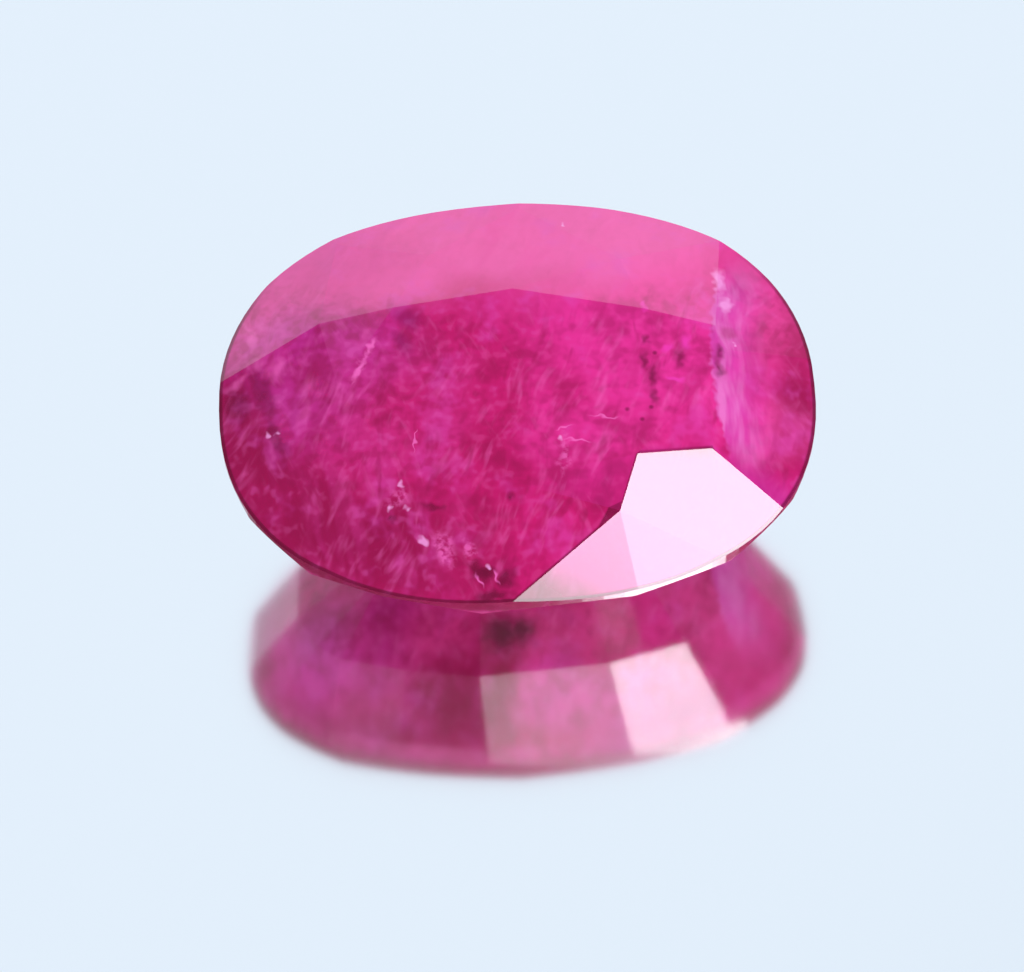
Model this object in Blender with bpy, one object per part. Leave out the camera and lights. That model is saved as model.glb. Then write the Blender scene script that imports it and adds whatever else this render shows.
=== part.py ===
# Oval faceted ruby in a mixed cut: a low brilliant crown over a stepped pavilion.
# The stone lies on the flat facet at the bottom of its pavilion, so it leans towards the front, which is -Y.
# X runs along the length of the oval and Z is up. The origin is on the ground, under the middle of the stone.

import math
from collections import namedtuple

import bmesh
import bpy
import numpy as np
from mathutils import Matrix, Vector

MM = 0.001

# Outline of the girdle, seen along the stone's own axis. A power of 2 would be an ellipse, and more fills the
# shoulders.
LENGTH = 9.00 * MM
WIDTH = 7.11 * MM
OUTLINE_POWER = 2.317
GIRDLE_SIDES = 96

# Levels along the stone's own axis, measured from the upper edge of the girdle.
TABLE_LEVEL = 0.45 * MM
GIRDLE_END = -0.15 * MM
FIRST_STEP_END = -0.50 * MM
SECOND_STEP_END = -1.43 * MM
KEEL_LEVEL = -2.915 * MM

# Slopes of the pavilion facets from the plane of the girdle, in degrees.
THIRD_STEP_SLOPE = 35.0
BACK_FLAT_SLOPE = 14.0
BACK_FLAT_AZIMUTH = 92.0

# How the stone lies: tipped forwards and a little sideways, on a facet this far from the girdle's centre.
LEAN = 13.61
SIDE_ROLL = 0.63
RESTING_FACET_DISTANCE = 2.833 * MM

# Facets whose corners come closer than this share one corner.
MEET_TOLERANCE = 0.002 * MM

# A bezel facet is the kite between the table and the girdle. Its azimuth is the way it faces, and its corner
# is where it touches the table. Its tip is the stretch of the girdle that it reaches, as two stations around
# the outline, and lies this drop below the girdle's upper edge.
Bezel = namedtuple("Bezel", "azimuth corner tip drop")
BEZELS = (
    Bezel(-3.0, (2.80 * MM, -0.20 * MM), (-7.1, 5.8), 0.03 * MM),
    Bezel(47.2, (1.99 * MM, 1.18 * MM), (46.3, 46.3), 0.02 * MM),
    Bezel(90.0, (0.02 * MM, 1.65 * MM), (89.6, 89.6), 0.0),
    Bezel(112.9, (-1.81 * MM, 1.40 * MM), (122.3, 122.3), 0.02 * MM),
    Bezel(180.0, (-2.69 * MM, 0.05 * MM), (174.2, 185.8), 0.03 * MM),
    Bezel(232.9, (-1.90 * MM, -1.45 * MM), (232.2, 232.2), 0.03 * MM),
    Bezel(270.0, (-0.24 * MM, -1.75 * MM), (268.1, 268.1), 0.0),
    Bezel(307.0, (1.72 * MM, -1.39 * MM), (306.3, 306.3), 0.04 * MM),
)

# A star facet lies between two bezels. Its outer tip is a point in plan, and below that tip the two upper
# halves meet the girdle at one station. The first star follows the first bezel, and so on around.
Star = namedtuple("Star", "tip station drop")
STARS = (
    Star((3.06 * MM, 0.89 * MM), 28.7, 0.07 * MM),
    Star((1.69 * MM, 2.20 * MM), 73.1, 0.07 * MM),
    Star((-1.25 * MM, 2.46 * MM), 105.6, 0.07 * MM),
    Star((-2.94 * MM, 1.21 * MM), 144.1, 0.07 * MM),
    Star((-3.00 * MM, -1.10 * MM), 212.1, 0.07 * MM),
    Star((-1.62 * MM, -2.28 * MM), 249.1, 0.07 * MM),
    Star((1.40 * MM, -2.28 * MM), 287.6, 0.06 * MM),
    Star((2.84 * MM, -1.27 * MM), 326.6, 0.08 * MM),
)

# The pavilion's steps on the front half: the way each column of facets faces, how far inside the outline it
# is where the first step ends, and the slope of its second step. The back half is the same, turned half round.
# The first step starts at the outline where the girdle ends, so its slope follows from the inset.
Column = namedtuple("Column", "azimuth inset slope")
COLUMNS = (
    Column(0.0, 0.13 * MM, 50.0),
    Column(-22.0, 0.15 * MM, 50.0),
    Column(-44.7, 0.22 * MM, 52.0),
    Column(-70.6, 0.22 * MM, 54.8),
    Column(-85.4, 0.20 * MM, 55.7),
    Column(-104.3, 0.19 * MM, 57.3),
    Column(-112.2, 0.19 * MM, 57.3),
    Column(-139.0, 0.185 * MM, 60.0),
    Column(-159.0, 0.15 * MM, 54.0),
)


def outline_point(station, level=0.0):
    """Point of the girdle at a station in degrees: a circle's, with its sides raised to fill the shoulders."""
    cosine = math.cos(math.radians(station))
    sine = math.sin(math.radians(station))
    x = math.copysign(LENGTH / 2 * abs(cosine) ** (2 / OUTLINE_POWER), cosine)
    y = math.copysign(WIDTH / 2 * abs(sine) ** (2 / OUTLINE_POWER), sine)
    return Vector((x, y, level))


def outline_reach(azimuth):
    """Distance from the axis to the line that touches the outline and faces this azimuth."""
    dual = OUTLINE_POWER / (OUTLINE_POWER - 1)
    along = abs(LENGTH / 2 * math.cos(math.radians(azimuth))) ** dual
    across = abs(WIDTH / 2 * math.sin(math.radians(azimuth))) ** dual
    return (along + across) ** (1 / dual)


def facing(azimuth):
    """Level unit vector at this azimuth."""
    return Vector((math.cos(math.radians(azimuth)), math.sin(math.radians(azimuth)), 0.0))


def sloped_facet(azimuth, slope, distance, level, up):
    """Plane that faces an azimuth, slopes from the girdle, and is one distance from the axis at a level."""
    tilt = math.radians(slope)
    normal = facing(azimuth) * math.sin(tilt) + Vector((0, 0, up * math.cos(tilt)))
    return facing(azimuth) * distance + Vector((0, 0, level)), normal


def facet_through(a, b, c):
    """Plane of a crown facet through three points, facing up."""
    normal = (b - a).cross(c - a).normalized()
    if normal.z < 0:
        normal = -normal
    return a, normal


def level_on(facet, x, y):
    """Height of a facet's plane above a point in plan."""
    point, normal = facet
    return point.z - (normal.x * (x - point.x) + normal.y * (y - point.y)) / normal.z


def bezel_facet(bezel):
    """The kite's plane, from its corner on the table down to its tip on the girdle."""
    tip = (outline_point(bezel.tip[0]) + outline_point(bezel.tip[1])) / 2
    corner = Vector((*bezel.corner, TABLE_LEVEL))
    run = (tip - corner).dot(facing(bezel.azimuth))
    slope = math.degrees(math.atan2(TABLE_LEVEL + bezel.drop, run))
    return sloped_facet(bezel.azimuth, slope, corner.dot(facing(bezel.azimuth)), TABLE_LEVEL, 1)


def crown_facets():
    """Table, eight bezels, eight stars and sixteen upper halves."""
    bezels = [bezel_facet(bezel) for bezel in BEZELS]
    facets = [(Vector((0, 0, TABLE_LEVEL)), Vector((0, 0, 1)))] + bezels
    for i, star in enumerate(STARS):
        before, after = BEZELS[i], BEZELS[(i + 1) % len(BEZELS)]
        planes = bezels[i], bezels[(i + 1) % len(bezels)]
        corners = Vector((*before.corner, TABLE_LEVEL)), Vector((*after.corner, TABLE_LEVEL))
        tip = Vector((*star.tip, min(level_on(plane, *star.tip) for plane in planes)))
        foot = outline_point(star.station, -star.drop)
        facets.append(facet_through(*corners, tip))
        facets.append(facet_through(tip, outline_point(before.tip[1], -before.drop), foot))
        facets.append(facet_through(tip, outline_point(after.tip[0], -after.drop), foot))
    return facets


def pavilion_facets():
    """Three steps of facets in columns, narrowing to a keel between the resting flat and the one behind it."""
    facets = []
    for turn in (0.0, 180.0):
        for column in COLUMNS:
            azimuth = column.azimuth + turn
            upper = outline_reach(azimuth) - column.inset
            lower = upper - (FIRST_STEP_END - SECOND_STEP_END) / math.tan(math.radians(column.slope))
            first_slope = math.degrees(math.atan2(GIRDLE_END - FIRST_STEP_END, column.inset))
            facets.append(sloped_facet(azimuth, first_slope, upper, FIRST_STEP_END, -1))
            facets.append(sloped_facet(azimuth, column.slope, upper, FIRST_STEP_END, -1))
            facets.append(sloped_facet(azimuth, THIRD_STEP_SLOPE, lower, SECOND_STEP_END, -1))
    facets.append(sloped_facet(BACK_FLAT_AZIMUTH, BACK_FLAT_SLOPE, 0.0, KEEL_LEVEL, -1))
    return facets


def lying_turn():
    """Rotation from the stone's own axes to the way it lies."""
    return Matrix.Rotation(math.radians(SIDE_ROLL), 3, "Y") @ Matrix.Rotation(math.radians(LEAN), 3, "X")


def resting_facet():
    """The flat that the stone lies on: level once the stone has been tipped."""
    normal = lying_turn().transposed() @ Vector((0, 0, -1))
    return normal * RESTING_FACET_DISTANCE, normal


def blank():
    """The rough column that is cut: the girdle's outline, tall enough for every facet."""
    bm = bmesh.new()
    stations = [360.0 * i / GIRDLE_SIDES for i in range(GIRDLE_SIDES)]
    floor = bm.faces.new([bm.verts.new(outline_point(station, -LENGTH / 2)) for station in stations])
    raised = bmesh.ops.extrude_face_region(bm, geom=[floor])
    top = [item for item in raised["geom"] if isinstance(item, bmesh.types.BMVert)]
    bmesh.ops.translate(bm, verts=top, vec=(0, 0, LENGTH))
    bmesh.ops.recalc_face_normals(bm, faces=bm.faces)
    return bm


def cut(bm, facet):
    """Grinds away everything outside one facet's plane and closes the stone there with a flat face."""
    point, normal = facet
    everything = bm.verts[:] + bm.edges[:] + bm.faces[:]
    bmesh.ops.bisect_plane(
        bm, geom=everything, dist=MEET_TOLERANCE / 2, plane_co=point, plane_no=normal, clear_outer=True
    )
    rim = [edge for edge in bm.edges if edge.is_boundary]
    bmesh.ops.holes_fill(bm, edges=rim, sides=0)


def girdle_facets():
    """The upright sides of the girdle, one between each two neighbouring stations."""
    step = 360.0 / GIRDLE_SIDES
    sides = []
    for i in range(GIRDLE_SIDES):
        start, end = outline_point(step * i), outline_point(step * (i + 1))
        along = (end - start).normalized()
        sides.append((start, Vector((along.y, -along.x, 0.0))))
    return sides


def exact_corner(corner, facets):
    """Where the facets that meet at a corner cross, by least squares where more than three of them meet."""
    meeting = [facet for facet in facets if abs(facet[1].dot(corner - facet[0])) < MEET_TOLERANCE]
    normals = np.array([normal for point, normal in meeting], dtype=float)
    offsets = np.array([np.dot(normal, point) for point, normal in meeting], dtype=float)
    return np.linalg.lstsq(normals, offsets, rcond=None)[0]


def lay_down(points):
    """Tips the stone onto its resting flat and puts the origin under the middle of its box."""
    points = points @ np.array(lying_turn()).T
    low, high = points.min(axis=0), points.max(axis=0)
    return points - [(low[0] + high[0]) / 2, (low[1] + high[1]) / 2, low[2]]


def finished_mesh(bm, facets):
    """The cut solid as a mesh, lying down, with its corners and faces in a fixed order."""
    corners = {vert: tuple(exact_corner(vert.co, facets).round(10)) for vert in bm.verts}
    points = sorted(set(corners.values()))
    number = {point: i for i, point in enumerate(points)}
    loops = []
    for face in bm.faces:
        loop = [number[corners[vert]] for vert in face.verts]
        loop = [corner for i, corner in enumerate(loop) if corner != loop[i - 1]]
        first = loop.index(min(loop))
        loops.append((loop[first:] + loop[:first], abs(face.normal.z) < 0.01))
    loops.sort()
    mesh = bpy.data.meshes.new("ruby")
    mesh.from_pydata(lay_down(np.array(points)), [], [loop for loop, _ in loops])
    mesh.polygons.foreach_set("use_smooth", [smooth for _, smooth in loops])
    mesh.update()
    return mesh


def ruby_material():
    """Clear polished ruby, pinkish red."""
    material = bpy.data.materials.new("ruby")
    material.use_nodes = True
    shader = material.node_tree.nodes["Principled BSDF"]
    shader.inputs["Base Color"].default_value = (0.68, 0.03, 0.20, 1.0)
    shader.inputs["Roughness"].default_value = 0.03
    shader.inputs["Metallic"].default_value = 0.0
    shader.inputs["IOR"].default_value = 1.77
    shader.inputs["Transmission Weight"].default_value = 1.0
    return material


def ruby():
    """The whole stone, cut facet by facet. Only the band of the girdle is shaded smooth."""
    facets = crown_facets() + pavilion_facets() + [resting_facet()]
    bm = blank()
    for facet in facets:
        cut(bm, facet)
    bmesh.ops.dissolve_degenerate(bm, edges=bm.edges, dist=MEET_TOLERANCE)
    bmesh.ops.recalc_face_normals(bm, faces=bm.faces)
    mesh = finished_mesh(bm, facets + girdle_facets())
    bm.free()
    mesh.materials.append(ruby_material())
    stone = bpy.data.objects.new("ruby", mesh)
    bpy.context.scene.collection.objects.link(stone)
    return stone


for item in list(bpy.data.objects):
    bpy.data.objects.remove(item, do_unlink=True)
ruby()
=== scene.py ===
"""Looks of an oval faceted ruby that leans on its pavilion on a pale mirror-like table."""

import math

import bpy
import numpy as np
from mathutils import Matrix, Vector

MM = 0.001

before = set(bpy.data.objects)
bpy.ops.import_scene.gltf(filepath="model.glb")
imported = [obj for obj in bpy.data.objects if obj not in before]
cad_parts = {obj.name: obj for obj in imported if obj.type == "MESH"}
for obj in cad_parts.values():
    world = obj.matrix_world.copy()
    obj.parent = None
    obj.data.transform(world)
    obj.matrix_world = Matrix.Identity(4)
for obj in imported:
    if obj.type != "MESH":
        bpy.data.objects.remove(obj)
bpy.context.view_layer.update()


# Camera
# A long lens about 59 mm from the stone, 45 degrees above the table, with a slight roll.
# Its distance, angles and look point were solved from the stone's own corners.
def view_direction(azimuth, elevation):
    """Unit vector from the stone, from two angles in degrees.

    Azimuth turns from straight away from the camera towards the right, and elevation
    rises from the table: (sin a cos e, cos a cos e, sin e).
    """
    a, e = math.radians(azimuth), math.radians(elevation)
    return Vector((math.sin(a) * math.cos(e), math.cos(a) * math.cos(e), math.sin(e)))


CAMERA_DISTANCE = 58.742 * MM
CAMERA_AZIMUTH, CAMERA_ELEVATION, CAMERA_ROLL = 180.995, 45.353, 2.356
FOCAL_LENGTH, SENSOR_WIDTH = 130.74, 36.0
LOOK_POINT = Vector((-0.1166, 0.8619, 0.0)) * MM

camera_data = bpy.data.cameras.new("photo_camera")
camera_data.lens, camera_data.sensor_width = FOCAL_LENGTH, SENSOR_WIDTH
camera_data.clip_start, camera_data.clip_end = 2 * MM, 10.0
camera = bpy.data.objects.new("photo_camera", camera_data)
bpy.context.scene.collection.objects.link(camera)
towards_camera = view_direction(CAMERA_AZIMUTH, CAMERA_ELEVATION)
level_right = Vector((0, 0, 1)).cross(towards_camera).normalized()
level_up = towards_camera.cross(level_right)
roll = math.radians(CAMERA_ROLL)
camera_right = math.cos(roll) * level_right - math.sin(roll) * level_up
camera_up = math.sin(roll) * level_right + math.cos(roll) * level_up
turned = Matrix((camera_right, camera_up, towards_camera)).transposed().to_4x4()
turned.translation = LOOK_POINT + CAMERA_DISTANCE * towards_camera
camera.matrix_world = turned
bpy.context.scene.camera = camera
bpy.context.scene.view_settings.view_transform = "Standard"


# Studio light
# A bright, slightly blue backdrop behind the stone, a dim room around it, and one cloth
# softbox on a stand at the front right, which whitens three facets of the crown.
class Wire:
    """One output of a shader node. Arithmetic on it adds the Math node that works it out."""

    def __init__(self, tree, socket):
        self.tree, self.socket = tree, socket

    def node(self, kind, settings=None, output=0, **values):
        """Adds a node of this type and gives one of its outputs as a wire.

        Its settings come first, among them placed, which is where a texture lies. Then
        come its sockets, by name or by _number, each a value or a wire.
        """
        made = self.tree.nodes.new(kind)
        for name, value in (settings or {}).items():
            if name == "placed":
                for part, amount in value.items():
                    setattr(made.texture_mapping, part, amount)
            else:
                setattr(made, name, value)
        for name, value in values.items():
            if name.startswith("_"):
                socket = made.inputs[int(name[1:])]
            else:
                socket = made.inputs[name.replace("__", " ")]
            if isinstance(value, Wire):
                self.tree.links.new(value.socket, socket)
            else:
                socket.default_value = value
        return Wire(self.tree, made.outputs[output] if len(made.outputs) else None)

    def math(self, operation, other=0.0, swap=False):
        """This value and another through one Math node, the other way round if swap."""
        first, second = (other, self) if swap else (self, other)
        return self.node("ShaderNodeMath", {"operation": operation}, _0=first, _1=second)

    def __add__(self, other):
        return self.math("ADD", other)

    __radd__ = __add__

    def __sub__(self, other):
        return self.math("SUBTRACT", other)

    def __rsub__(self, other):
        return self.math("SUBTRACT", other, swap=True)

    def __mul__(self, other):
        return self.math("MULTIPLY", other)

    __rmul__ = __mul__

    def __truediv__(self, other):
        return self.math("DIVIDE", other)

    def __rtruediv__(self, other):
        return self.math("DIVIDE", other, swap=True)

    def __pow__(self, other):
        return self.math("POWER", other)

    def rise(self, low, high, top=1.0):
        """0 below low and top above high, with a smooth step between."""
        return self.node(
            "ShaderNodeMapRange",
            {"interpolation_type": "SMOOTHSTEP"},
            _0=self,
            _1=low,
            _2=high,
            _3=0.0,
            _4=top,
        )

    def fall(self, low, high, top=1.0):
        """top below low and 0 above high, with a smooth step between."""
        return self.node(
            "ShaderNodeMapRange",
            {"interpolation_type": "SMOOTHSTEP"},
            _0=self,
            _1=low,
            _2=high,
            _3=top,
            _4=0.0,
        )

    def shade(self, share):
        """This colour made darker, to a share of its light."""
        return self.node(
            "ShaderNodeMix",
            {"data_type": "RGBA", "blend_type": "MULTIPLY"},
            output=2,
            _0=1.0,
            _6=self,
            _7=(share, share, share, 1),
        )

    def along(self, direction):
        """How far this vector reaches along a fixed direction."""
        return self.node(
            "ShaderNodeVectorMath",
            {"operation": "DOT_PRODUCT"},
            output=1,
            _0=self,
            _1=tuple(direction),
        )

    def tint(self, colour, share):
        """This colour mixed towards another one by a share."""
        return self.node(
            "ShaderNodeMix",
            {"data_type": "RGBA"},
            output=2,
            _0=share,
            _6=self,
            _7=(*colour, 1),
        )


def empty_tree(owner):
    """The node tree of a material or world, cleared."""
    owner.use_nodes = True
    owner.node_tree.nodes.clear()
    return owner.node_tree


# The room around the stone: its colour, and its brightness at eye level and overhead. It
# turns from the one to the other between two elevations, in degrees.
ROOM_COLOUR, ROOM_LEVEL, OVERHEAD_LEVEL = (0.776, 0.871, 0.973), 0.26, 0.11
OVERHEAD_START, OVERHEAD_FULL = 38, 55
# Near the horizon it is brighter on the left than on the right. That turns within 0.3 of
# the middle, and ends between two heights: all three are parts of a unit vector.
HORIZON_LEFT_LEVEL, HORIZON_RIGHT_LEVEL, HORIZON_TURN = 0.50, 0.14, 0.3
HORIZON_LOW, HORIZON_HIGH = 0.25, 0.37
# Round areas in it: the azimuth and elevation of the centre, the radius and the width of
# the faded rim, in degrees, and then the brightness. A small flag hangs before the
# backdrop and shades one crown facet, a pale wall stands behind the camera, and a round
# reflector at the front left fills the shadows.
BACKDROP, BACKDROP_LEVEL = ((-8, 33), 28.5, 4.0), 1.10
FLAG = ((27, 38), 4.2, 2.2)
FRONT_WALL, FRONT_WALL_LEVEL = ((180, 2), 22, 6), 0.9
FILL, FILL_LEVEL = ((-140, 22), 13.5, 5.0), 1.1


def patch(ray, centre, radius, fade):
    """1 within a radius in degrees of a direction, and smoothly 0 beyond its faded rim.

    A ray is that near where its cosine with the direction is above the radius's cosine.
    """
    inner, outer = math.radians(radius), math.radians(radius + fade)
    return ray.along(view_direction(*centre)).rise(math.cos(outer), math.cos(inner))


world = bpy.data.worlds.new("studio")
bpy.context.scene.world = world
tree = empty_tree(world)
start = Wire(tree, None)
ray = start.node("ShaderNodeTexCoord", output=0)
height = ray.along((0, 0, 1))
low_room = height.fall(
    math.sin(math.radians(OVERHEAD_START)), math.sin(math.radians(OVERHEAD_FULL))
)
horizon = height.fall(HORIZON_LOW, HORIZON_HIGH)
room = OVERHEAD_LEVEL + (ROOM_LEVEL - OVERHEAD_LEVEL) * low_room
leftwards = ray.along((-1, 0, 0)).rise(-HORIZON_TURN, HORIZON_TURN)
horizon_level = HORIZON_RIGHT_LEVEL + (HORIZON_LEFT_LEVEL - HORIZON_RIGHT_LEVEL) * leftwards
room = room + (horizon_level - ROOM_LEVEL) * horizon
room = room + patch(ray, *FRONT_WALL) * (FRONT_WALL_LEVEL - room)
room = room + patch(ray, *FILL) * (FILL_LEVEL - room)
backdrop = patch(ray, *BACKDROP) * (1 - patch(ray, *FLAG))
level = room + backdrop * (BACKDROP_LEVEL - room)
light = start.node("ShaderNodeBackground", _0=(*ROOM_COLOUR, 1), _1=level)
start.node("ShaderNodeOutputWorld", _0=light)

# The softbox: its azimuth and elevation in degrees, its edges as shares of its distance,
# and the slanting border that parts its bright end from its dim one.
SOFTBOX_DIRECTION, SOFTBOX_DISTANCE = (124, 55), 400 * MM
SOFTBOX_LEFT, SOFTBOX_RIGHT, SOFTBOX_BOTTOM, SOFTBOX_TOP = -0.95, 0.265, -0.62, 0.355
SOFTBOX_COLOUR, SOFTBOX_RADIANCE, SOFTBOX_DIM_SHARE = (0.93, 0.97, 1.0), 10.0, 0.30
BORDER_SLANT, BORDER_START, BORDER_END = 0.36, -0.32, -0.08
softbox_side = view_direction(*SOFTBOX_DIRECTION)
across = Vector((0, 0, 1)).cross(softbox_side).normalized()
upwards = softbox_side.cross(across)
corners = [
    SOFTBOX_DISTANCE * (softbox_side + across * x + upwards * y)
    for x, y in (
        (SOFTBOX_LEFT, SOFTBOX_BOTTOM),
        (SOFTBOX_LEFT, SOFTBOX_TOP),
        (SOFTBOX_RIGHT, SOFTBOX_TOP),
        (SOFTBOX_RIGHT, SOFTBOX_BOTTOM),
    )
]
softbox_mesh = bpy.data.meshes.new("softbox")
softbox_mesh.from_pydata(corners, [], [(0, 1, 2, 3)])
softbox = bpy.data.objects.new("softbox", softbox_mesh)
bpy.context.scene.collection.objects.link(softbox)
softbox_material = bpy.data.materials.new("softbox cloth")
tree = empty_tree(softbox_material)
start = Wire(tree, None)
on_cloth = start.node("ShaderNodeTexCoord", output=3)
sideways = on_cloth.along(across / SOFTBOX_DISTANCE)
below_middle = on_cloth.along(-upwards / SOFTBOX_DISTANCE).math("MAXIMUM", 0.0)
bright_part = (sideways + BORDER_SLANT * below_middle).rise(BORDER_START, BORDER_END)
glow = start.node(
    "ShaderNodeEmission",
    _0=(*SOFTBOX_COLOUR, 1),
    _1=SOFTBOX_RADIANCE * (SOFTBOX_DIM_SHARE + (1 - SOFTBOX_DIM_SHARE) * bright_part),
)
start.node("ShaderNodeOutputMaterial", _0=glow)
softbox_mesh.materials.append(softbox_material)


# Table
# The stone lies on a pale polished sheet that mirrors it and the backdrop almost fully.
# The sheet stays a hair below the resting flat, so that the two never share a plane.
TABLE_HALF_SIDE, TABLE_GAP = 900 * MM, 0.002 * MM
TABLE_COLOUR, TABLE_ROUGHNESS = (0.905, 0.91, 0.915), 0.13
table_mesh = bpy.data.meshes.new("mirror_table")
table_mesh.from_pydata(
    [
        (x * TABLE_HALF_SIDE, y * TABLE_HALF_SIDE, -TABLE_GAP)
        for x, y in ((-1, -1), (1, -1), (1, 1), (-1, 1))
    ],
    [],
    [(0, 1, 2, 3)],
)
table = bpy.data.objects.new("mirror_table", table_mesh)
bpy.context.scene.collection.objects.link(table)
table_material = bpy.data.materials.new("polished pale table")
tree = empty_tree(table_material)
start = Wire(tree, None)
finish = start.node(
    "ShaderNodeBsdfPrincipled",
    Base__Color=(*TABLE_COLOUR, 1),
    Metallic=1.0,
    Roughness=TABLE_ROUGHNESS,
)
start.node("ShaderNodeOutputMaterial", _0=finish)
table_mesh.materials.append(table_material)


# Ruby
# One natural ruby, cut and polished facet by facet on a lap, a little duller at the girdle.
# It is full of silk, healed cracks and colour zones, so light passes it only in part.
# It leans on its pavilion. Lengths and places are in millimetres from here on.
LEAN, SIDE_ROLL = math.radians(13.61), math.radians(0.63)
GIRDLE_HEIGHT = 2.764  # along the stone's own leaning axis
stone_turn = Matrix.Rotation(SIDE_ROLL, 3, "Y") @ Matrix.Rotation(LEAN, 3, "X")
stone_up = stone_turn @ Vector((0, 0, 1))


def swatch(red, green, blue):
    """A colour named by its 0 to 255 screen values, as the linear light that shaders take."""
    c = np.array((red, green, blue)) / 255
    return tuple(np.where(c < 0.04045, c / 12.92, ((c + 0.055) / 1.055) ** 2.4))


def placed(centre, sizes, turn=None):
    """Where a texture lies: about a centre, drawn out to these sizes.

    With a turn in degrees its axes lean with the stone and turn about its height.
    """
    rotation = (0, 0, 0) if turn is None else (LEAN, SIDE_ROLL, math.radians(turn))
    return dict(vector_type="TEXTURE", translation=centre, rotation=rotation, scale=sizes)


def spots(place, core, *marks, share=1.0):
    """The share in the core of the nearest of several egg shapes, and smoothly 0 at its skin.

    Each mark has a centre, its half lengths or one radius, and a turn if it leans with
    the stone. Its gradient is 1 minus the distance from the centre in half lengths, and
    the core is where that distance is small.
    """
    found = None
    for centre, sizes, *turn in marks:
        if isinstance(sizes, float):
            sizes = (sizes, sizes, sizes)
        mark = place.node(
            "ShaderNodeTexGradient",
            {"gradient_type": "SPHERICAL", "placed": placed(centre, sizes, *turn)},
            output=1,
            Vector=place,
        )
        found = mark if found is None else found.math("MAXIMUM", mark)
    return found.rise(0.0, 1 - core, share)


def spot(place, centre, sizes, core, share=1.0):
    """A single one of those spots."""
    return spots(place, core, (centre, sizes), share=share)


def needle(a, b, thickness):
    """The spot that stands for a thin crystal from a to b."""
    a, b = np.array(a), np.array(b)
    turn = math.degrees(math.atan2(b[1] - a[1], b[0] - a[0]))
    length = float(np.linalg.norm(b - a)) / 2
    return tuple((a + b) / 2), (length, thickness, 4 * thickness), turn


def grain(place, size, detail, roughness=0.5):
    """Soft noise from 0 to 1 whose lumps are about size millimetres across."""
    return place.node(
        "ShaderNodeTexNoise",
        {"normalize": True},
        Vector=place,
        Scale=0.5 / size,
        Detail=detail,
        Roughness=roughness,
    )


def streaks(place, turn, width, length, seed):
    """Noise drawn out along one direction in the table's plane, for growth lines and silk."""
    return place.node(
        "ShaderNodeTexNoise",
        {"normalize": True, "placed": placed((seed,) * 3, (width, length, 1.5 * width), turn)},
        Vector=place,
        Scale=0.5,
        Detail=2.0,
        Roughness=0.55,
    )


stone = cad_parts["ruby"]
ruby_material = bpy.data.materials.new("included ruby")
tree = empty_tree(ruby_material)
start = Wire(tree, None)
place = start.node(
    "ShaderNodeVectorMath",
    {"operation": "SCALE"},
    _0=start.node("ShaderNodeTexCoord", output=3),
    _3=1 / MM,
)


def shaken(place, size, amount, detail=0.0):
    """The place moved about by soft noise, so that what lies there gets an uneven outline."""
    noise = place.node(
        "ShaderNodeTexNoise",
        {"normalize": True},
        output=1,
        Vector=place,
        Scale=0.5 / size,
        Detail=detail,
    )
    push = place.node(
        "ShaderNodeVectorMath", {"operation": "SUBTRACT"}, _0=noise, _1=(0.5, 0.5, 0.5)
    )
    return place.node(
        "ShaderNodeVectorMath",
        {"operation": "MULTIPLY_ADD"},
        _0=push,
        _1=(amount, amount, amount),
        _2=place,
    )


# Uneven places for colour zones, for cracks and veils, for small crystals, and for threads.
wavy = shaken(place, 0.55, 1.1)
rough = shaken(place, 0.12, 0.30, 1.0)
fine = shaken(place, 0.05, 0.12)
bent = shaken(place, 0.5, 0.35)

CRIMSON, WINE, PURPLE = swatch(194, 20, 106), swatch(146, 8, 72), swatch(184, 36, 138)
HOT_PINK, LILAC, MILK = swatch(232, 48, 152), swatch(216, 72, 182), swatch(246, 160, 230)
ROSE, DEEP_PURPLE, BROWN = swatch(236, 80, 168), swatch(118, 10, 84), swatch(46, 8, 12)
PLUM, MAROON, VEIL_PINK = swatch(204, 52, 142), swatch(84, 0, 36), swatch(250, 110, 200)
# The first of the next two colours is painted light, for the facets that face the softbox.
PAINTED_LIT_PINK, HOT_VEIL = swatch(196, 44, 150), swatch(244, 60, 184)

across_stone = place.along(stone_turn @ Vector((1, 0, 0)))
above_girdle = place.along(stone_up) - GIRDLE_HEIGHT

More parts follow.
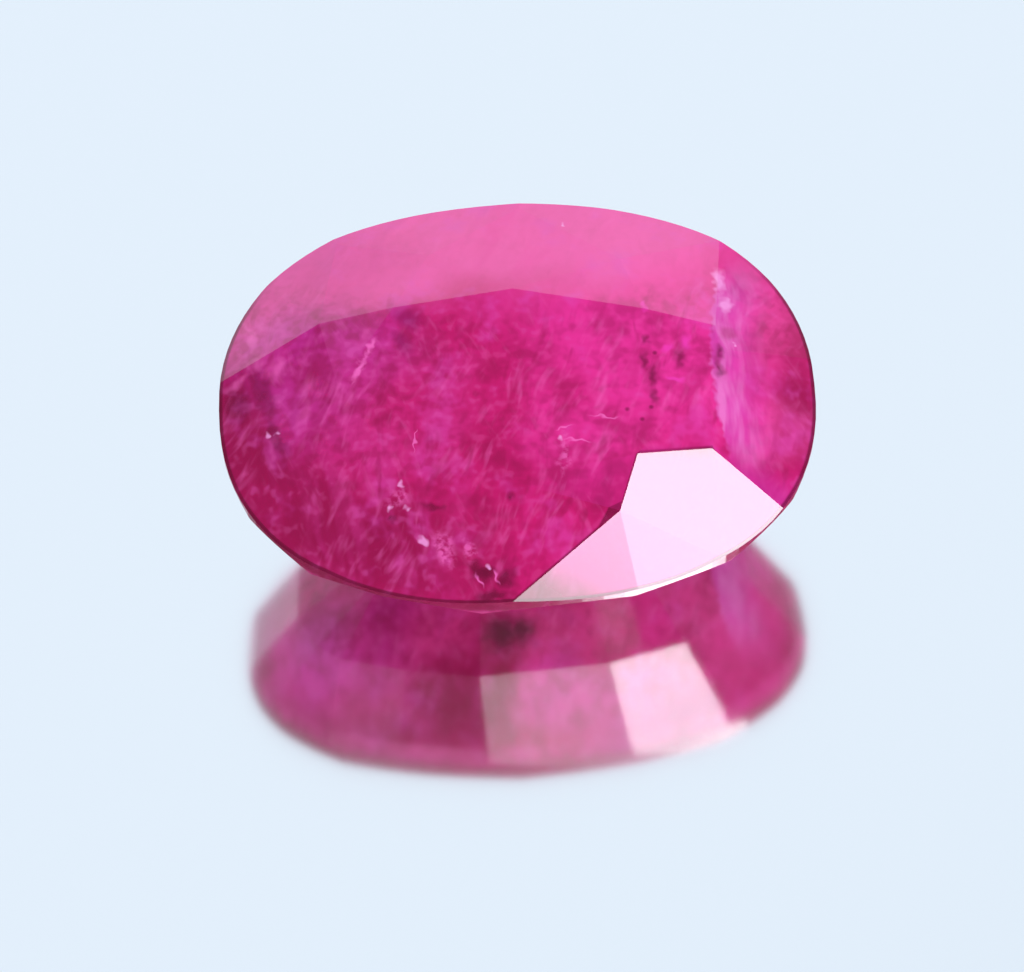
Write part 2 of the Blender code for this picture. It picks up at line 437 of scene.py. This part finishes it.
# Colour zones, from the purplish left end through the red middle to the hot pink right end.
# Each has a hue, a centre, half lengths, the core where it is full, and its share there.
colour = start.node("ShaderNodeMix", {"data_type": "RGBA"}, output=2, _6=(*CRIMSON, 1), _0=0.0)
for hue, centre, sizes, core, share in (
    (PURPLE, (-3.1, 0.6, 3.1), (2.2, 2.2, 2.5), 0.3, 0.90),
    (HOT_PINK, (2.1, 0.8, 3.2), (2.7, 3.2, 2.6), 0.3, 0.95),
    (HOT_PINK, (0.7, -0.9, 3.0), (1.2, 1.4, 1.2), 0.3, 0.70),
    (WINE, (-2.5, -2.6, 2.2), (2.6, 1.7, 1.6), 0.3, 0.90),
    (WINE, (-4.15, -0.4, 2.9), (1.0, 1.7, 1.3), 0.4, 0.85),
    (ROSE, (-0.3, 3.6, 3.4), (5.4, 2.8, 2.0), 0.6, 0.85),
    (ROSE, (4.2, 1.6, 3.2), (1.3, 2.6, 1.5), 0.3, 0.35),
    (ROSE, (-3.5, 1.9, 3.2), (1.5, 1.3, 1.2), 0.3, 0.60),
    (PLUM, (-2.2, -0.3, 3.1), (1.9, 1.8, 2.0), 0.3, 0.50),
    (PLUM, (-2.8, 2.4, 3.5), (1.6, 1.2, 1.0), 0.3, 0.60),
    (CRIMSON, (0.85, -0.4, 3.1), (0.7, 0.8, 0.8), 0.3, 0.45),
    (CRIMSON, (-1.4, -0.6, 3.1), (0.8, 0.8, 0.8), 0.3, 0.55),
    (WINE, (4.3, -0.9, 2.6), (0.6, 1.4, 0.9), 0.3, 0.70),
    (ROSE, (3.8, -1.1, 2.7), (0.8, 0.9, 0.8), 0.3, 0.50),
    (WINE, (-3.7, -1.7, 2.3), (1.2, 1.6, 1.5), 0.3, 0.70),
):
    colour = colour.tint(hue, spot(wavy, centre, sizes, core, share))
underside = above_girdle.fall(-1.1, -0.1)
colour = colour.tint(ROSE, 0.40 * underside)
# A rose band just below the girdle, painted light for the glow seen along that step.
painted_rim_light = above_girdle.rise(-0.52, -0.47, 0.60) * above_girdle.fall(-0.30, -0.16)
colour = colour.tint(ROSE, painted_rim_light)
for hue, centre, sizes, core, share in (
    (PURPLE, (-2.2, -1.2, 0.9), (1.3, 1.2, 1.0), 0.3, 0.8),
    (HOT_VEIL, (-3.8, -1.5, 1.6), (1.5, 1.7, 1.3), 0.3, 0.9),
    (LILAC, (-3.3, -1.0, 1.1), (0.9, 1.2, 1.0), 0.3, 0.7),
    (HOT_VEIL, (1.1, -2.8, 1.2), (1.8, 1.0, 1.0), 0.5, 0.7),
    (WINE, (-0.95, -2.6, 1.2), (1.0, 1.5, 1.2), 0.5, 0.95),
):
    colour = colour.tint(hue, underside * spot(wavy, centre, sizes, core, share))

# Growth lines and broad veils, leaning one way over most of the stone and the other way
# at the front left. The band behind the table is calmer than the rest.
front_left = spot(wavy, (-2.7, -2.2, 2.5), (2.1, 1.7, 1.8), 0.5)
growth = streaks(bent, -20, 0.24, 1.3, seed=2.4)
fan = streaks(bent, 14, 0.16, 1.5, seed=7.0)
left_share = across_stone.fall(-1.6, 0.8)
pale = growth.rise(0.50, 0.70) * (1 - front_left) + fan.rise(0.48, 0.66) * front_left
deep = growth.fall(0.32, 0.50) * (1 - front_left) + fan.fall(0.34, 0.50) * front_left
back_band = spot(place, (0.0, 3.5, 3.6), (5.6, 2.9, 2.4), 0.7)
colour = colour.tint(PLUM, 0.35 * pale * left_share)
colour = colour.tint(HOT_PINK, 0.32 * pale * (1 - left_share))
colour = colour.tint(WINE, (0.30 - 0.25 * back_band) * deep)
mottle = grain(place, 0.40, 3.0, 0.68)
colour = colour.tint(WINE, (0.42 - 0.38 * back_band) * mottle.fall(0.32, 0.54))
colour = colour.tint(LILAC, mottle.rise(0.52, 0.70, 0.30))
lumps = grain(place, 0.10, 1.0, 0.6)
lumpy = (0.55 + 0.45 * left_share) * (1 - 0.85 * back_band)
colour = colour.tint(WINE, lumpy * lumps.fall(0.34, 0.52, 0.28))
colour = colour.tint(VEIL_PINK, lumpy * lumps.rise(0.54, 0.72, 0.12))

# Silk: fine soft threads that lean one way in patches and the other way between them,
# and darker threads among them.
patches = grain(place, 0.7, 1.0).rise(0.38, 0.60)
silk = streaks(bent, -26, 0.085, 0.36, seed=4.0).rise(0.50, 0.80)
crossing = streaks(bent, 24, 0.08, 0.30, seed=8.0).rise(0.52, 0.82)
shadow = streaks(bent, -14, 0.10, 0.36, seed=12.0).fall(0.24, 0.46)
colour = colour.tint(VEIL_PINK, (0.32 - 0.22 * back_band) * silk * patches)
colour = colour.tint(VEIL_PINK, (0.22 - 0.14 * back_band) * crossing * (1 - patches))
colour = colour.tint(WINE, (0.45 - 0.38 * back_band) * shadow)

# The milky band near the right end, with a sharp, slightly bowed left side.
offset = fine.along((1, 0, 0))
reach = bent.along((0, 1, 0))
offset = offset - 0.08 * reach * reach
band = offset.rise(2.90, 2.98) * offset.fall(3.05, 3.9)
band = band * reach.rise(-1.9, -0.9) * reach.fall(1.4, 2.4)
veil = streaks(bent, 0, 0.10, 0.45, seed=5.0).rise(0.36, 0.70)
colour = colour.tint(LILAC, 0.65 * band)
colour = colour.tint(MILK, 0.36 * band * veil)

# The left end: a dark patch, a dark wedge beside it, and a pink veil over both.
end_dark = spots(
    rough,
    0.1,
    ((-4.22, 0.00, 2.95), (0.36, 0.50, 0.6), 15),
    ((-3.80, 0.10, 3.05), (0.22, 0.80, 0.6), 15),
    ((-3.62, -0.75, 2.85), (0.16, 0.60, 0.6), 15),
    share=0.50,
)
colour = colour.tint(MAROON, end_dark)
left_veil = spots(
    rough,
    0.1,
    ((-3.88, 0.62, 3.16), (0.30, 0.16, 0.5), 30),
    ((-4.00, 1.20, 3.20), (0.10, 0.60, 0.6), 15),
    ((-4.20, 0.36, 3.02), (0.34, 0.12, 0.5), 30),
    ((-3.62, 0.48, 3.15), (0.20, 0.34, 0.5), -15),
    ((-3.22, -0.45, 3.00), (0.16, 0.45, 0.5), -15),
    share=0.45,
)
colour = colour.tint(VEIL_PINK, left_veil * (0.5 + 0.5 * veil))

# Purple patches, smoky and magenta veils, dark crystals, and painted shade for the hollow of
# a lost crystal at the front.
purple_patches = spots(
    wavy,
    0.15,
    ((-1.45, 0.95, 3.52), (0.34, 0.60, 0.5), 15),
    ((-1.75, 0.35, 3.45), (0.30, 0.40, 0.5), 15),
    share=0.50,
)
colour = colour.tint(DEEP_PURPLE, purple_patches)
smoky = spots(
    rough,
    0.1,
    ((1.98, 0.00, 3.30), (0.16, 0.60, 0.5)),
    ((2.50, 0.35, 3.36), (0.22, 0.50, 0.5)),
    ((3.24, 0.62, 3.27), (0.24, 0.20, 0.4)),
    ((3.08, 0.10, 3.22), (0.12, 0.42, 0.5)),
    share=0.42,
)
colour = colour.tint(WINE, smoky)
magenta = spots(
    rough,
    0.2,
    ((2.56, 0.40, 3.34), (0.16, 0.22, 0.3), -15),
    ((2.27, 0.26, 3.34), (0.10, 0.16, 0.3), -15),
    ((2.38, -0.27, 3.22), (0.17, 0.09, 0.3), -15),
    ((2.00, 1.06, 3.53), (0.06, 0.14, 0.3), -15),
    share=0.75,
)
colour = colour.tint(HOT_VEIL, magenta)
dark = spots(
    fine,
    0.0,
    ((1.99, 0.45, 3.39), (0.10, 0.13, 0.3)),
    ((1.93, 0.10, 3.31), (0.10, 0.26, 0.3)),
    ((2.04, -0.18, 3.24), (0.10, 0.30, 0.3)),
    ((2.02, -0.52, 3.15), (0.09, 0.20, 0.3)),
    ((2.47, 0.11, 3.30), (0.12, 0.24, 0.3)),
    ((3.05, -0.05, 3.19), (0.10, 0.24, 0.3)),
    ((3.08, 0.29, 3.25), (0.10, 0.20, 0.3)),
    ((-0.20, -2.05, 2.73), (0.10, 0.10, 0.2)),
    ((-1.95, -2.25, 2.62), (0.09, 0.09, 0.2)),
    ((-1.35, -2.15, 2.68), (0.30, 0.09, 0.3), -15),
    share=0.60,
)
crumbs = spots(
    place,
    0.2,
    ((1.98, -0.71, 3.11), 0.055),
    ((1.62, -0.73, 3.11), 0.055),
    ((1.83, -0.91, 3.06), 0.055),
    ((2.10, 0.22, 3.34), 0.055),
    share=0.60,
)
colour = colour.tint(MAROON, dark.math("MAXIMUM", crumbs))
# Painted shade: the hollow is not in the mesh, and its darkness is painted on.
painted_hollow_shade = spots(
    rough,
    0.1,
    ((-0.66, -3.08, 2.22), (0.22, 0.28, 0.4), 15),
    ((-0.32, -3.14, 2.18), (0.20, 0.28, 0.4), 15),
    ((-0.55, -3.40, 2.03), (0.50, 0.12, 0.4)),
    share=0.70,
)
colour = colour.tint(MAROON, painted_hollow_shade)

# Bright crystals: thin needles, healed cracks, and points that catch the light, whose glints
# are painted highlights.
feather = spots(
    rough,
    0.1,
    ((-1.20, -2.75, 2.38), (0.20, 0.42, 0.5), 30),
    ((-1.85, -1.95, 2.78), (0.28, 0.20, 0.5)),
    ((-0.85, -2.75, 2.36), (0.10, 0.30, 0.5), 30),
    ((-2.30, 0.30, 3.42), (0.12, 0.50, 0.5), -30),
    ((0.62, -1.45, 2.95), (0.10, 0.50, 0.5)),
    share=0.55,
)
feather = feather * grain(place, 0.06, 2.0, 0.7).rise(0.36, 0.62)
colour = colour.tint(VEIL_PINK, feather)
hairs = spots(
    fine,
    0.2,
    needle((-2.06, 0.75, 3.51), (-2.25, 0.40, 3.43), 0.05),
    needle((-2.22, 0.40, 3.43), (-2.51, -0.13, 3.30), 0.06),
    needle((-1.50, -0.75, 3.14), (-1.62, -1.42, 2.98), 0.02),
    needle((-0.78, -3.02, 2.26), (-0.66, -3.34, 2.07), 0.03),
    needle((-0.47, -3.00, 2.26), (-0.46, -3.30, 2.10), 0.03),
    needle((0.99, -0.79, 3.10), (1.60, -0.90, 3.05), 0.025),
    needle((0.59, -1.17, 3.02), (1.10, -1.26, 2.98), 0.025),
    needle((0.45, -1.05, 3.04), (0.85, -0.92, 3.08), 0.02),
    share=0.70,
)
colour = colour.tint(VEIL_PINK, hairs)
bright = spots(
    fine,
    0.3,
    ((3.20, 1.72, 3.36), (0.13, 0.32, 0.4)),
    ((3.25, 1.22, 3.32), (0.15, 0.18, 0.3)),
    ((-1.52, -2.60, 2.45), (0.10, 0.07, 0.1), -30),
    share=0.75,
)
# Tiny crystals, whose white points are painted highlights where they catch the light.
painted_crystal_glints = spots(
    fine,
    0.2,
    ((0.59, -1.17, 3.02), 0.06),
    ((-3.75, -0.65, 2.90), 0.06),
    ((-3.62, -0.67, 2.90), 0.06),
    ((-1.81, -1.80, 2.85), 0.06),
    ((-1.98, -2.12, 2.70), 0.06),
    ((-1.72, -2.14, 2.68), 0.06),
    ((-0.56, -3.01, 2.26), 0.06),
    ((0.87, 2.88, 3.64), 0.06),
    ((3.33, 0.43, 3.21), 0.06),
    share=0.75,
)
colour = colour.tint(MILK, bright.math("MAXIMUM", painted_crystal_glints))

# A brown stain of iron in a crack on the front of the pavilion.
stain = spots(
    rough,
    0.0,
    ((-0.38, -1.80, 0.48), (0.56, 0.50, 0.5)),
    ((-0.10, -1.75, 0.48), (0.36, 0.40, 0.5)),
    share=0.92,
)
colour = colour.tint(BROWN, stain * above_girdle.fall(-1.5, -0.9))

# The lit facets at the front right, pinker with painted light, and the girdle, darker and
# duller.
facet = start.node("ShaderNodeNewGeometry", output=3)
facing_up = facet.along(stone_up)
girdle = facing_up.math("ABSOLUTE").fall(0.05, 0.12)
facing_right = facet.along((1, 0, 0))
lit_facet = facing_right.rise(0.03, 0.06) * facing_right.fall(0.25, 0.29)
front_right = spot(place, (2.3, -2.6, 2.5), (2.8, 1.4, 1.4), 0.7)
lit = front_right * lit_facet
# Painted light: the facets that face the softbox get a lighter pink.
colour = colour.tint(PAINTED_LIT_PINK, 0.80 * lit)
edge = above_girdle.rise(-0.34, -0.22, 0.65) * facing_up.fall(0.02, 0.10)
colour = colour.tint(WINE, edge)

# A thin line of painted shade along the outline, where |x / a| ^ p + |y / b| ^ p nears 1.
HALF_LENGTH, HALF_WIDTH, OUTLINE_POWER = 4.50, 3.555, 2.317
CENTRE_RIGHT, CENTRE_BACK = -0.030, 0.635
sideways = (across_stone - CENTRE_RIGHT) / HALF_LENGTH
backwards = (place.along(stone_turn @ Vector((0, 1, 0))) - CENTRE_BACK) / HALF_WIDTH
outwards = (
    sideways.math("ABSOLUTE") ** OUTLINE_POWER + backwards.math("ABSOLUTE") ** OUTLINE_POWER
)
outline = outwards.rise(0.962, 0.982, 0.75) * backwards.fall(0.35, 0.75)
# The maroon here is painted shade along the outline.
colour = colour.tint(MAROON, outline * facing_up.rise(0.05, 0.2))

# Thin lines of painted shade along the lit facets, which are the front ones that face up and
# slightly right. Only the rims of their neighbours lie within microns of their planes.
lit_planes = {}
for face in stone.data.polygons:
    if 0.05 < face.normal.x < 0.17 and face.normal.z > 0.8 and face.center.y < -1.9 * MM:
        key = tuple(round(part, 2) for part in face.normal)
        lit_planes[key] = (face.normal.copy(), face.normal.dot(face.center) / MM)
beside = None
for normal, distance in lit_planes.values():
    near = (place.along(normal) - distance).rise(-0.0045, -0.001)
    beside = near if beside is None else beside.math("MAXIMUM", near)
# The maroon here is painted shade beside the lit facets.
colour = colour.tint(MAROON, beside * (1 - lit) * facing_up.rise(0.2, 0.3, 0.7))

# The stone's body: polished ruby that passes part of the light, and a painted glow of its
# own colour for the light that its silk scatters back. Roughness rises at the girdle.
REFRACTIVE_INDEX, SEE_THROUGH_SHARE = 1.77, 0.28
SURFACE_SHARE, PAINTED_GLOW = 0.60, 0.34
POLISH, GIRDLE_DULLNESS = 0.02, 0.09
DEPTH_COLOUR, DEPTH_PER_METRE = (0.90, 0.04, 0.36), 450.0
body = start.node(
    "ShaderNodeBsdfPrincipled",
    Base__Color=colour.shade(SURFACE_SHARE),
    Roughness=POLISH + GIRDLE_DULLNESS * girdle,
    IOR=REFRACTIVE_INDEX,
    Transmission__Weight=SEE_THROUGH_SHARE,
    # Painted glow: the stone gives off its own colour as light, though it is no lamp.
    Emission__Color=colour,
    Emission__Strength=PAINTED_GLOW,
)
depth = start.node(
    "ShaderNodeVolumeAbsorption", Color=(*DEPTH_COLOUR, 1), Density=DEPTH_PER_METRE
)
start.node("ShaderNodeOutputMaterial", _0=body, _1=depth)
stone.data.materials.clear()
stone.data.materials.append(ruby_material)
